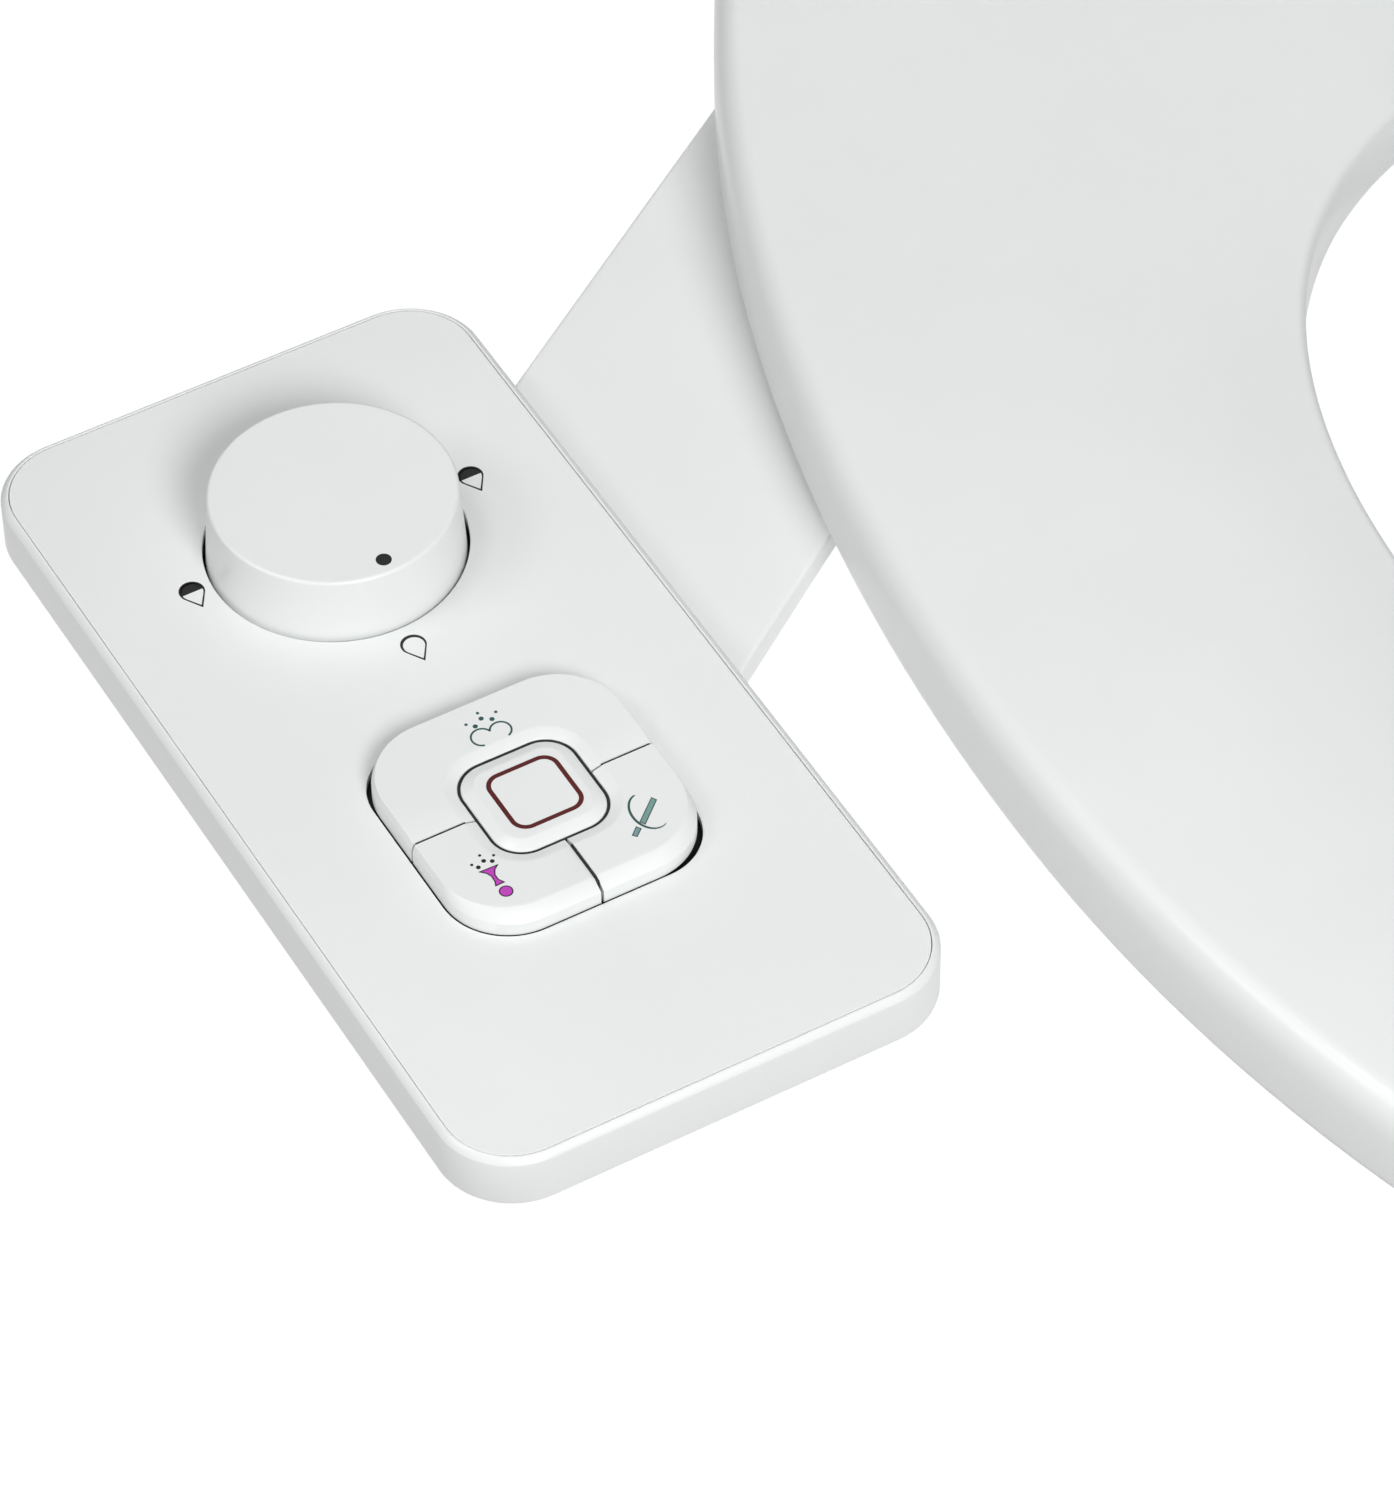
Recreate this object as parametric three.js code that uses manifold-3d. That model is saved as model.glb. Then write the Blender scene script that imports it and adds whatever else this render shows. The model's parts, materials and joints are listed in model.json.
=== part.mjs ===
// Bidet attachment with a side control panel, and the toilet seat and lid it is fitted under.
// Millimetres. +Z is up, -Y is the front of the toilet, and the panel is on the -X side.
// Z = 0 is the underside of the mounting plate. The origin is on the centre line, 30 mm in front of
// the line of the two seat bolts.
import * as THREE from "three";
import Module from "manifold-3d";
import { mergeVertices } from "three/addons/utils/BufferGeometryUtils.js";

const wasm = await Module();
wasm.setup();

// ---- driving dimensions ----
const gap = 0.3; // clearance left between neighbouring pieces
const far = 900; // size of the blocks used for cutting

const panel = { x: -247.5, y: -124.05, width: 87, length: 173.3, radius: 13, height: 10.5 };
const rim = 1.35; // width of the edge round the panel's cover
const coverTop = 10.4;
const coverThickness = 1.6;
const floorTop = 1.4;
const wall = 2.0;

const dial = { x: -247, y: -81.7, hole: 22.05, radius: 21.4, topRadius: 20.5, top: 22.6, skirt: 7.6 };
const keys = { x: -247, y: -148.5, width: 44.1, length: 44.9, radius: 11.8, top: 14.4, bottom: 10.2 };
const keyBevel = 1.6;
const stopKey = { size: 19.6, radius: 5.3, top: 14.5, bevel: 1.2 };
const keySlit = 0.7; // gap between one button and the next

const casing = { x: -246.5, y: -121, width: 53, length: 126, radius: 6, depth: 22 };
const flange = { width: 65, length: 138, thickness: 2 };

const plateThickness = 5;
const skin = 1.0;
const armWall = 1.5;
const bolt = { x: 70, y: 30 };

const hinge = { y: 47, z: 20, pinRadius: 3, knuckle: 7.5 };
const seat = { halfWidth: 183, wideY: -195, front: 235, rear: 274, back: 13, bottom: 7, top: 26 };
const seatEdge = 7.5; // rounding of the seat's outer top edge
const hole = { halfWidth: 107, wideY: -211, front: 146, rear: 126, power: 2.5 };
const dish = { edge: 21.5, spread: 26 }; // the top slopes down to this height at the hole
const lidShape = { bottom: 28, top: 33, open: 105 };

const jet = { x: 10, y: -72, z: -2, tilt: 48, radius: 4.2, length: 44, block: 46, bore: 4.7 };
const tubeLevel = 2.7;

// ---- materials ----
const paint = (name, color, roughness, metalness = 0) => {
  const material = new THREE.MeshStandardMaterial({ color, roughness, metalness });
  material.name = name;
  return material;
};
const whiteGloss = paint("white_gloss", 0xe9ecea, 0.25);
const whiteSatin = paint("white_satin", 0xe2e5e4, 0.45);
const greyPlastic = paint("grey_plastic", 0x9a9d9f, 0.55);
const blackPlastic = paint("black_plastic", 0x1b1c1e, 0.5);
const boardGreen = paint("circuit_board", 0x1d5a3a, 0.5);
const steel = paint("steel", 0xb9bcc0, 0.3, 1);
const brass = paint("brass", 0xc9a55a, 0.3, 1);
const rubber = paint("rubber", 0xd5d7d6, 0.85);
const tubing = paint("tubing", 0xdfe6ea, 0.4);

// ---- solids ----
// A closed three.js geometry as a solid that can be cut and joined.
function solid(geometry) {
  const plain = geometry.index ? geometry : geometry.clone();
  plain.deleteAttribute("normal");
  plain.deleteAttribute("uv");
  const merged = mergeVertices(plain, 1e-4);
  return new wasm.Manifold(
    new wasm.Mesh({
      numProp: 3,
      vertProperties: new Float32Array(merged.attributes.position.array),
      triVerts: new Uint32Array(merged.index.array),
    }),
  );
}

// A solid as a named mesh in the part.
const part = new THREE.Group();
part.name = "bidet_seat";
function add(name, body, material) {
  const made = body.getMesh();
  const corners = new Float32Array((made.vertProperties.length / made.numProp) * 3);
  for (let i = 0; i < corners.length / 3; i += 1) {
    for (let k = 0; k < 3; k += 1) corners[i * 3 + k] = made.vertProperties[i * made.numProp + k];
  }
  const geometry = new THREE.BufferGeometry();
  geometry.setAttribute("position", new THREE.BufferAttribute(corners, 3));
  geometry.setIndex(new THREE.BufferAttribute(new Uint32Array(made.triVerts), 1));
  geometry.computeVertexNormals();
  const mesh = new THREE.Mesh(geometry, material);
  mesh.name = name;
  part.add(mesh);
}

function box(x0, x1, y0, y1, z0, z1) {
  const geometry = new THREE.BoxGeometry(x1 - x0, y1 - y0, z1 - z0);
  geometry.translate((x0 + x1) / 2, (y0 + y1) / 2, (z0 + z1) / 2);
  return solid(geometry);
}

// A cylinder or cone standing on z0, radius r0 there and r1 at z1.
function post(x, y, z0, z1, r0, r1 = r0, sides = 16) {
  const geometry = new THREE.CylinderGeometry(r1, r0, z1 - z0, sides);
  geometry.rotateX(Math.PI / 2);
  geometry.translate(x, y, (z0 + z1) / 2);
  return solid(geometry);
}

// A cylinder lying along X.
function barX(x0, x1, y, z, radius, sides = 16) {
  const geometry = new THREE.CylinderGeometry(radius, radius, x1 - x0, sides);
  geometry.rotateZ(-Math.PI / 2);
  geometry.translate((x0 + x1) / 2, y, z);
  return solid(geometry);
}

// A cylinder lying along Y.
function barY(x, y0, y1, z, radius, sides = 16) {
  const geometry = new THREE.CylinderGeometry(radius, radius, y1 - y0, sides);
  geometry.translate(x, (y0 + y1) / 2, z);
  return solid(geometry);
}

function roundedRectangle(x, y, width, length, radius) {
  const [a, b, r] = [width / 2, length / 2, radius];
  const shape = new THREE.Shape();
  shape.moveTo(x + a, y - b + r);
  shape.lineTo(x + a, y + b - r);
  shape.absarc(x + a - r, y + b - r, r, 0, Math.PI / 2, false);
  shape.lineTo(x - a + r, y + b);
  shape.absarc(x - a + r, y + b - r, r, Math.PI / 2, Math.PI, false);
  shape.lineTo(x - a, y - b + r);
  shape.absarc(x - a + r, y - b + r, r, Math.PI, Math.PI * 1.5, false);
  shape.lineTo(x + a - r, y - b);
  shape.absarc(x + a - r, y - b + r, r, Math.PI * 1.5, Math.PI * 2, false);
  return shape;
}

function polygon(points) {
  const shape = new THREE.Shape();
  shape.setFromPoints(points.map(([x, y]) => new THREE.Vector2(x, y)));
  return shape;
}

// The same outline moved inwards by a distance, corner by corner.
function insetOutline(points, distance) {
  return points.map((corner, i) => {
    const before = points[(i + points.length - 1) % points.length];
    const after = points[(i + 1) % points.length];
    const [ax, ay] = unit(corner[0] - before[0], corner[1] - before[1]);
    const [bx, by] = unit(after[0] - corner[0], after[1] - corner[1]);
    const turn = 1 + ax * bx + ay * by;
    return [corner[0] - (distance * (ay + by)) / turn, corner[1] + (distance * (ax + bx)) / turn];
  });
}

function unit(x, y) {
  const size = Math.hypot(x, y);
  return [x / size, y / size];
}

function slab(shape, z0, z1, curveSegments = 4) {
  const geometry = new THREE.ExtrudeGeometry(shape, { depth: z1 - z0, bevelEnabled: false, curveSegments });
  geometry.translate(0, 0, z0);
  return solid(geometry);
}

// A slab whose top edge is rounded by the given bevel; the bottom edge stays sharp.
function softSlab(shape, z0, z1, bevel, steps = 2, curveSegments = 4) {
  const geometry = new THREE.ExtrudeGeometry(shape, {
    depth: z1 - z0 - bevel + 1,
    bevelEnabled: true,
    bevelThickness: bevel,
    bevelSize: bevel,
    bevelOffset: -bevel,
    bevelSegments: steps,
    curveSegments,
  });
  geometry.translate(0, 0, z0 - 1);
  return solid(geometry).intersect(box(-far, far, -far, far, z0, z1 + 1));
}

// A cutter that grows from the shape at z0 to the shape widened by spread at z1.
function flare(shape, z0, z1, spread) {
  const geometry = new THREE.ExtrudeGeometry(shape, {
    depth: 5,
    bevelEnabled: true,
    bevelThickness: z1 - z0,
    bevelSize: spread,
    bevelSegments: 1,
    curveSegments: 4,
  });
  geometry.translate(0, 0, z1);
  return solid(geometry);
}

// ---- panel ----
const panelShape = (inset) =>
  roundedRectangle(
    panel.x,
    panel.y,
    panel.width - 2 * inset,
    panel.length - 2 * inset,
    panel.radius - inset,
  );

const keyShape = (inset) =>
  roundedRectangle(keys.x, keys.y, keys.width - 2 * inset, keys.length - 2 * inset, keys.radius - inset);

const armDoor = { y0: -128, y1: -70, z1: 6 }; // opening in the panel's wall for the tubes
const screwInset = 5;

function screwPoints() {
  const points = [];
  for (const side of [-1, 1]) {
    for (const end of [-1, 1]) {
      points.push({
        x: casing.x + side * (flange.width / 2 - screwInset),
        y: casing.y + end * (flange.length / 2 - screwInset),
        name: `case_screw_${side < 0 ? "outer" : "inner"}_${end < 0 ? "front" : "rear"}`,
      });
    }
  }
  return points;
}

function makePanel() {
  const ledge = coverTop - coverThickness - gap; // the cover rests just above this level
  const bottomOpening = roundedRectangle(casing.x, casing.y, casing.width - 5, casing.length - 5, 5);
  const armSide = panel.x + panel.width / 2;
  let housing = softSlab(panelShape(0), 0, panel.height, 1, 1)
    .subtract(slab(panelShape(wall), floorTop, ledge + 0.1))
    .subtract(slab(panelShape(rim), ledge, panel.height + 1))
    .subtract(slab(bottomOpening, -1, floorTop + 1, 3))
    .subtract(box(armSide - 5, armSide + 5, armDoor.y0, armDoor.y1, floorTop, armDoor.z1));
  for (const { x, y } of screwPoints()) {
    housing = housing.add(post(x, y, 0.5, 3.9, 3, 3, 12)).subtract(post(x, y, -1, 3.4, 1.4, 1.4, 8));
  }
  add("panel_housing", housing, whiteGloss);

  const cover = slab(panelShape(rim + gap), coverTop - coverThickness, coverTop)
    .subtract(post(dial.x, dial.y, 5, 15, dial.hole, dial.hole, 36))
    .subtract(slab(keyShape(0), 5, 15));
  add("panel_cover", cover, whiteGloss);
}

// The tray under the panel that holds the valve, with its screws.
const casingRear = casing.y + casing.length / 2;
const portLevel = -12;
const socketX = casing.x - 19;

function makeCasing() {
  const flangeShape = roundedRectangle(casing.x, casing.y, flange.width, flange.length, 8);
  const outer = roundedRectangle(casing.x, casing.y, casing.width, casing.length, casing.radius);
  const inner = roundedRectangle(
    casing.x,
    casing.y,
    casing.width - 2 * wall,
    casing.length - 2 * wall,
    casing.radius - wall,
  );
  let tray = slab(flangeShape, -flange.thickness - gap, -gap, 4)
    .add(slab(outer, -casing.depth, -1, 4))
    .subtract(slab(inner, -casing.depth + wall, 1, 4))
    .subtract(barY(dial.x, casingRear - 10, casingRear + 5, portLevel, 7))
    .subtract(
      box(socketX - 5, socketX + 5, casingRear - 10, casingRear + 5, portLevel - 5, portLevel + 5),
    );
  for (const { x, y, name } of screwPoints()) {
    tray = tray.subtract(post(x, y, -5, 1, 1.6, 1.6, 8));
    add(name, post(x, y, -4.4, -2.6, 2.3, 2.8, 12).add(post(x, y, -3, 3, 1.1, 1.1, 8)), steel);
  }
  add("lower_casing", tray, whiteSatin);
}

// ---- valves ----
const manifold = { x0: -270, x1: -223, y0: -150, y1: -138, z0: -18, z1: -5 };
const solenoidXs = [-263, -246.5, -230];
const tubeXs = [-252, -240];
const tubeStart = -142.7;

function makeValves() {
  const neckEnd = manifold.y1 - 2.5;
  const valve = post(dial.x, dial.y, -18, -4, 15)
    .add(barY(dial.x, neckEnd, dial.y, portLevel, 4, 16))
    .add(barY(dial.x, dial.y, casingRear - 2, portLevel, 3.5, 16))
    .subtract(post(dial.x, dial.y, -10, 0, 4.4, 4.4, 16))
    .subtract(barY(dial.x, neckEnd - 1, casingRear, portLevel, 2.2, 8));
  add("flow_valve", valve, greyPlastic);
  add("valve_spindle", post(dial.x, dial.y, -9.7, 18, 4, 4, 16), brass);

  const inlet = barY(dial.x, casingRear - 4, casingRear + 18, portLevel, 6.6)
    .add(barY(dial.x, casingRear + gap, casingRear + 3, portLevel, 8.8, 6))
    .add(barY(dial.x, casingRear + 3, casingRear + 16, portLevel, 8))
    .subtract(barY(dial.x, casingRear - 10, casingRear + 30, portLevel, 4, 16));
  add("water_inlet", inlet, brass);

  const socket = box(
    socketX - 4.7,
    socketX + 4.7,
    casingRear - 6,
    casingRear + 1.5,
    portLevel - 4.7,
    portLevel + 4.7,
  ).subtract(barY(socketX, casingRear - 4, casingRear + 5, portLevel, 3.2, 16));
  add("power_socket", socket, blackPlastic);

  let block = box(manifold.x0, manifold.x1, manifold.y0, manifold.y1, manifold.z0, manifold.z1);
  block = block.subtract(barY(dial.x, neckEnd - 0.5, manifold.y1 + 1, portLevel, 4.4, 16));
  for (const x of tubeXs) {
    const riser = box(x - 2.2, x + 2.2, tubeStart - 5, tubeStart - gap, manifold.z1 - 1, tubeLevel + 1.3);
    block = block.add(riser);
  }
  add("valve_manifold", block, greyPlastic);

  solenoidXs.forEach((x, i) => {
    const coil = barY(x, -178, manifold.y0 - gap, -11.5, 6.4, 16).add(box(x - 5, x + 5, -175, -154, -18.5, -5));
    add(`solenoid_${i + 1}`, coil, blackPlastic);
  });
}

// A tube whose middle line runs level through the given points.
function levelTube(points) {
  const corners = points.map(([x, y]) => new THREE.Vector3(x, y, tubeLevel));
  const shape = new THREE.Shape();
  shape.absarc(0, 0, 1.1, 0, Math.PI * 2, false);
  const bore = new THREE.Path();
  bore.absarc(0, 0, 0.7, 0, Math.PI * 2, true);
  shape.holes.push(bore);
  const geometry = new THREE.ExtrudeGeometry(shape, {
    steps: 26,
    curveSegments: 3,
    bevelEnabled: false,
    extrudePath: new THREE.CatmullRomCurve3(corners, false, "centripetal"),
  });
  return solid(geometry);
}

function makeTubes() {
  const front = [
    [tubeXs[0], tubeStart],
    [tubeXs[0] + 2, -137],
    [-228, -116],
    [-205, -101],
    [-120, -46],
    [-62, -25],
    [-12, -23],
    [jet.x - 2, -32],
    [jet.x, -44],
    [jet.x, -66],
  ];
  const rear = [
    [tubeXs[1], tubeStart],
    [tubeXs[1] + 1, -138],
    [-228, -125],
    [-205, -109],
    [-120, -54],
    [-60, -36],
    [-26, -35],
    [-jet.x - 2, -40],
    [-jet.x, -50],
    [-jet.x, -66],
  ];
  add("tube_front", levelTube(front), tubing);
  add("tube_rear", levelTube(rear), tubing);
}

// ---- circuit board and switches ----
const keyCentres = {
  rear: [keys.x, keys.y + 16],
  front: [keys.x - 13, keys.y - 13],
  clean: [keys.x + 13, keys.y - 13],
  stop: [keys.x, keys.y],
};
const board = { bottom: 4.2, top: 5.4, y0: -203, y1: -126 };
const switchTop = 8.5;
const frameTop = 7.9;

function makeBoard() {
  const x0 = panel.x - panel.width / 2 + wall + 3;
  const x1 = panel.x + panel.width / 2 - wall - 3;
  add("control_board", box(x0, x1, board.y0, board.y1, board.bottom, board.top), boardGreen);
  for (const [name, [x, y]] of Object.entries(keyCentres)) {
    const body = box(x - 3, x + 3, y - 3, y + 3, board.top + 0.2, switchTop - 0.5);
    add(`switch_${name}`, body.add(post(x, y, switchTop - 1, switchTop, 1.6, 1.6, 12)), blackPlastic);
  }
}

// The dark frame that lies on the board under the buttons, open over each switch.
function makeButtonFrame() {
  let frame = slab(keyShape(-1.5), board.top + gap, frameTop);
  for (const [x, y] of Object.values(keyCentres)) {
    frame = frame.subtract(box(x - 3.5, x + 3.5, y - 3.5, y + 3.5, board.top, frameTop + 1));
  }
  add("button_frame", frame, blackPlastic);
}

// ---- knob and buttons ----
function makeKnob() {
  const fillet = 0.7;
  const profile = [
    [0, dial.top],
    [dial.topRadius - fillet, dial.top],
    [dial.topRadius - fillet * 0.3, dial.top - fillet * 0.3],
    [dial.topRadius, dial.top - fillet],
    [dial.radius, dial.skirt],
    [dial.radius - 2, dial.skirt],
    [dial.topRadius - 2, dial.top - 2.2],
    [7, dial.top - 2.2],
    [7, dial.skirt + 1],
    [4.3, dial.skirt + 1],
    [4.3, 18.4],
    [0, 18.4],
  ];
  const points = profile.reverse().map(([r, z]) => new THREE.Vector2(r, z));
  const lathe = new THREE.LatheGeometry(points, 32);
  lathe.rotateX(Math.PI / 2);
  lathe.translate(dial.x, dial.y, 0);
  const body = solid(lathe);
  const pointer = post(dial.x, dial.y - 17.5, dial.top - 0.3, dial.top + 1, 1.35, 1.35, 16);
  add("flow_knob", body.subtract(pointer), whiteGloss);
}

function makeButtons() {
  const edge = 0.4; // clearance round the buttons
  const stopShape = (extra) =>
    roundedRectangle(
      keys.x,
      keys.y,
      stopKey.size + 2 * extra,
      stopKey.size + 2 * extra,
      stopKey.radius + extra,
    );
  const whole = softSlab(keyShape(edge), keys.bottom, keys.top, keyBevel);
  const well = slab(stopShape(keySlit), 0, 30);
  const half = keySlit / 2;
  const areas = {
    rear: box(keys.x - 40, keys.x + 40, keys.y + half, keys.y + 40, 0, 30),
    front: box(keys.x - 40, keys.x - half, keys.y - 40, keys.y - half, 0, 30),
    clean: box(keys.x + half, keys.x + 40, keys.y - 40, keys.y - half, 0, 30),
  };
  for (const [name, area] of Object.entries(areas)) {
    add(`button_${name}`, whole.intersect(area).subtract(well), whiteGloss);
  }
  add("button_stop", softSlab(stopShape(0), keys.bottom, stopKey.top, stopKey.bevel, 1), whiteGloss);
}

// ---- arm and mounting plate ----
const armOutline = [
  [-203.7, -60.8],
  [-203.7, -136.7],
  [-177.6, -118.6],
  [-94, -62],
  [88, -62],
  [93, -57],
  [93, 45],
  [88, 50],
  [-90, 50],
  [-95, 45],
  [-95, 20],
  [-118, -3.3],
];
const discRadius = 17;

function makeArm() {
  let cover = softSlab(polygon(armOutline), 0.2, plateThickness, 0.8)
    .subtract(slab(polygon(insetOutline(armOutline, armWall)), -1, plateThickness - skin))
    .subtract(box(-210, -200, armDoor.y0, armDoor.y1, 1.5, plateThickness - skin));
  let base = slab(polygon(insetOutline(armOutline, armWall + gap)), 0, 1.2);
  for (const side of [-1, 1]) {
    const x = side * bolt.x;
    const collar = post(x, bolt.y, 1.5, plateThickness - 0.5, discRadius + 2, discRadius + 2, 24);
    const eye = post(x, bolt.y, -2, 8, discRadius + gap, discRadius + gap, 24);
    cover = cover.add(collar.intersect(box(-far, far, -far, bolt.y + 19, 0, 6))).subtract(eye);
    base = base.subtract(eye);
    cover = cover.subtract(barY(side * jet.x, -65, -55, tubeLevel, 1.25, 12));
    const disc = post(x, bolt.y, gap, plateThickness, discRadius, discRadius, 24);
    const drilled = disc.subtract(post(x, bolt.y, -2, 8, 4.6, 4.6, 12));
    add(`adjuster_disc_${side < 0 ? "near" : "far"}`, drilled, whiteSatin);
  }
  add("arm_cover", cover, whiteGloss);
  add("mounting_plate", base, whiteSatin);
}

// ---- nozzles ----
// The nozzle block is drawn along +Z and then tilted down towards the front.
const tilted = (body) => body.rotate([90 + jet.tilt, 0, 0]).translate([0, jet.y, jet.z]);

function tiltedPoint(across, along) {
  const angle = THREE.MathUtils.degToRad(jet.tilt);
  return {
    y: jet.y - along * Math.cos(angle) - across * Math.sin(angle),
    z: jet.z - along * Math.sin(angle) + across * Math.cos(angle),
  };
}

const guard = { halfWidth: 25, thickness: 2.2, drop: 34, barrel: 2.6, notchHalf: 5.2, notchTop: 12 };
const guardPin = tiltedPoint(13.8, 44);

function makeNozzles() {
  const half = 24;
  const ear = { inner: guard.halfWidth + 0.4, outer: guard.halfWidth + 3.6 };
  const front = -62 - gap;
  let housing = tilted(box(-half, half, -9, 9, 0, jet.block))
    .add(box(-half, half, -81, front, -6, plateThickness))
    .add(tilted(box(-ear.outer, ear.outer, 4, 9, 20, 36)));
  for (const side of [-1, 1]) {
    const x0 = Math.min(side * ear.inner, side * ear.outer);
    const x1 = Math.max(side * ear.inner, side * ear.outer);
    housing = housing.add(tilted(box(x0, x1, 4, 18, 20, 48)));
  }
  housing = housing.intersect(box(-far, far, -far, front, -far, plateThickness));
  housing = housing.subtract(barX(-40, 40, guardPin.y, guardPin.z, 1.5, 16));
  for (const side of [-1, 1]) {
    housing = housing
      .subtract(tilted(post(side * jet.x, 0, 3, jet.block + 1, jet.bore)))
      .subtract(barY(side * jet.x, -69, -60, tubeLevel, 1.4, 12));
    const nozzle = post(side * jet.x, 0, 4, jet.length, jet.radius)
      .add(post(side * jet.x, 0, jet.length - 0.5, jet.length + 1.2, jet.radius, jet.radius - 1.2))
      .subtract(post(side * jet.x, 0, 2, jet.length - 7, 1.8, 1.8, 12))
      .subtract(barY(side * jet.x, 0, 12, jet.length - 5, 0.9, 8));
    add(side < 0 ? "nozzle_rear" : "nozzle_front", tilted(nozzle), whiteGloss);
  }
  add("nozzle_housing", housing, whiteSatin);
}

// The flap hanging in front of the nozzle tips, notched so that they can come out past it.
function makeGuard() {
  const { y, z } = guardPin;
  const halfThickness = guard.thickness / 2;
  let leaf = box(-guard.halfWidth, guard.halfWidth, y - halfThickness, y + halfThickness, z - guard.drop, z)
    .add(barX(-guard.halfWidth, guard.halfWidth, y, z, guard.barrel, 16))
    .subtract(barX(-40, 40, y, z, 1.5, 12));
  for (const side of [-1, 1]) {
    const x = side * jet.x;
    leaf = leaf.subtract(
      box(x - guard.notchHalf, x + guard.notchHalf, y - 5, y + 5, z - 60, z - guard.notchTop),
    );
  }
  add("nozzle_guard", leaf, whiteGloss);
  add("guard_pin", barX(-28.2, 28.2, y, z, 1.2, 12), steel);
}

// ---- hinges and seat bolts ----
function makeHinges() {
  const halfWidth = 13;
  for (const side of [-1, 1]) {
    const label = side < 0 ? "near" : "far";
    const x = side * bolt.x;
    const baseBottom = plateThickness + gap;
    const foot = roundedRectangle(x, bolt.y + 3.5, halfWidth * 2, 37, 4);
    const base = slab(foot, baseBottom, 14, 3)
      .add(box(x - halfWidth, x + halfWidth, hinge.y - 6, hinge.y + 5, 10, hinge.z))
      .add(barX(x - halfWidth, x + halfWidth, hinge.y, hinge.z, hinge.knuckle))
      .subtract(post(x, bolt.y, 0, 20, 4.5, 4.5, 16))
      .subtract(post(x, bolt.y, 9, 20, 8.2))
      .subtract(barX(x - 30, x + 30, hinge.y, hinge.z, hinge.pinRadius + gap, 16));
    add(`hinge_base_${label}`, base, whiteGloss);

    const cap = slab(roundedRectangle(x, bolt.y - 3.6, 2 * halfWidth - 0.6, 22, 4), 14 + gap, 17, 3).add(
      post(x, bolt.y, 13.3, 15, 7.7),
    );
    add(`hinge_cap_${label}`, cap, whiteGloss);

    const screw = post(x, bolt.y, -62, 10, 4, 4, 16).add(post(x, bolt.y, 9.3, 12.9, 7.4, 7, 6));
    add(`seat_bolt_${label}`, screw, steel);
    const washer = post(x, bolt.y, -28, -23, 13, 9).subtract(post(x, bolt.y, -30, -20, 4.4, 4.4, 16));
    add(`bolt_washer_${label}`, washer, rubber);
    const nut = post(x, bolt.y, -40, -28.4, 9, 8, 16)
      .add(box(x - 19, x + 19, bolt.y - 1.6, bolt.y + 1.6, -40, -31))
      .subtract(post(x, bolt.y, -45, -20, 4.4, 4.4, 16));
    add(`wing_nut_${label}`, nut, whiteSatin);

    const inner = side * 39;
    const outer = side * 100.6;
    const head = side * 102.4;
    const pin = barX(Math.min(inner, outer), Math.max(inner, outer), hinge.y, hinge.z, hinge.pinRadius, 16)
      .add(barX(Math.min(outer, head), Math.max(outer, head), hinge.y, hinge.z, 5, 16));
    add(`hinge_pin_${label}`, pin, steel);
  }
}

// ---- seat and lid ----
// Outer edge of the seat, moved inwards by inset: two half ellipses, cut straight at the back.
function seatOutline(inset) {
  const halfWidth = seat.halfWidth - inset;
  const front = seat.front - inset;
  const rear = seat.rear - inset;
  const back = seat.back - inset;
  const points = [];
  const corner = 12; // cut taken off each back corner
  const endAngle = Math.asin((back - corner - seat.wideY) / rear);
  const rearSteps = 6;
  const frontSteps = 20;
  for (let i = 0; i <= rearSteps; i += 1) {
    const a = (endAngle * i) / rearSteps;
    points.push([halfWidth * Math.cos(a), seat.wideY + rear * Math.sin(a)]);
  }
  const cornerX = points[points.length - 1][0];
  points.push([cornerX - corner * 0.5, back - corner * 0.35]);
  points.push([cornerX - corner * 1.3, back]);
  const mirrored = points.map(([x, y]) => [-x, y]).reverse();
  points.push(...mirrored);
  for (let i = 1; i < frontSteps; i += 1) {
    const a = Math.PI + (Math.PI * i) / frontSteps;
    points.push([halfWidth * Math.cos(a), seat.wideY + front * Math.sin(a)]);
  }
  return points;
}

// The hole is squarer at the back than an ellipse; at the front it is a plain half ellipse.
function holeOutline() {
  const points = [];
  const steps = 36;
  for (let i = 0; i < steps; i += 1) {
    const a = (2 * Math.PI * i) / steps;
    const [across, along] = [Math.cos(a), Math.sin(a)];
    const power = along > 0 ? 2 / hole.power : 1;
    const reach = along > 0 ? hole.rear : hole.front;
    points.push([
      hole.halfWidth * Math.sign(across) * Math.abs(across) ** power,
      hole.wideY + reach * Math.sign(along) * Math.abs(along) ** power,
    ]);
  }
  return points;
}

// One hinge lug on each side, running from a plate's back edge to the pin.
function lugs(x0, x1, z0, z1, drop) {
  let both = null;
  for (const side of [-1, 1]) {
    const a = Math.min(side * x0, side * x1);
    const b = Math.max(side * x0, side * x1);
    const lug = box(a, b, seat.back - 8, hinge.y, z0, z1)
      .add(box(a, b, hinge.y - hinge.knuckle, hinge.y + hinge.knuckle, drop, z1))
      .add(barX(a, b, hinge.y, hinge.z, hinge.knuckle))
      .subtract(barX(a - 5, b + 5, hinge.y, hinge.z, hinge.pinRadius + gap, 16));
    both = both ? both.add(lug) : lug;
  }
  return both;
}

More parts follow.
